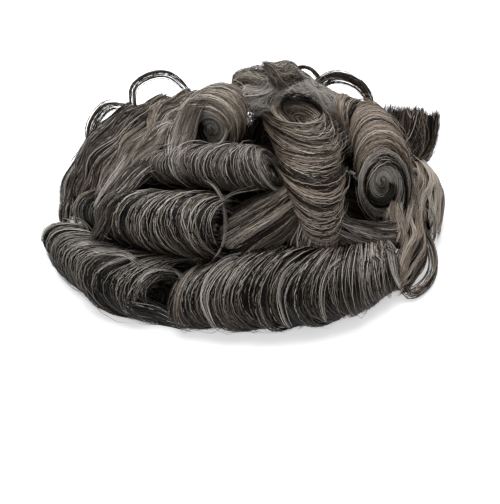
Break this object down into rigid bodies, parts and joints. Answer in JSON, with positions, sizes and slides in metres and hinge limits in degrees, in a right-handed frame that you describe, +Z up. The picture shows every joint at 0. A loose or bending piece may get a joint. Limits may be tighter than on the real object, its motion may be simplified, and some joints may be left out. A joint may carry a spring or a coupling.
{
  "type": "toupee hairpiece",
  "caption": "Men's toupee of curled brown hair with grey strands, knotted to a thin domed base that is open below for the head.",
  "frame": {"origin": "middle of the footprint on the table that it lies on", "axes": "+Z up out of the crown, +X along the widest side, -Y towards the front roll of curls"},
  "size_m": [0.2768, 0.2268, 0.1138],
  "materials": {
    "brown_hair": "satin dark brown hair with some grey strands",
    "warm_hair": "satin medium brown hair with some grey strands",
    "grey_hair": "satin brown hair with more grey strands",
    "root_hair": "matt dark root hair",
    "base_skin": "matt skin-coloured lace and thin coated skin"
  },
  "bodies": {
    "root": {"base_cap": "base_skin", "hair_mat": "root_hair", "front_roll_right": "brown_hair", "front_roll_left": "grey_hair", "middle_roll": "brown_hair", "upper_roll": "grey_hair", "crown_barrel": "warm_hair", "centre_column": "warm_hair", "spiral_column": "warm_hair", "back_roll_left": "brown_hair", "back_roll_right": "brown_hair", "back_wave_left": "grey_hair", "back_wave_right": "grey_hair", "left_wave_upper": "brown_hair", "left_wave_lower": "brown_hair", "left_edge_lock": "grey_hair", "combed_fan": "brown_hair", "front_fan": "brown_hair", "spiral_band": "grey_hair", "right_side_upper": "warm_hair", "right_side_lower": "warm_hair", "right_front_lock": "warm_hair", "right_end_loop": "warm_hair", "brush_lock": "warm_hair", "crown_mound": "grey_hair", "crown_tuft_right": "brown_hair", "crown_tuft_left": "brown_hair", "loop_right": "brown_hair", "loop_left": "brown_hair", "loop_left_side": "grey_hair", "loop_top": "brown_hair"}
  },
  "joints": []
}
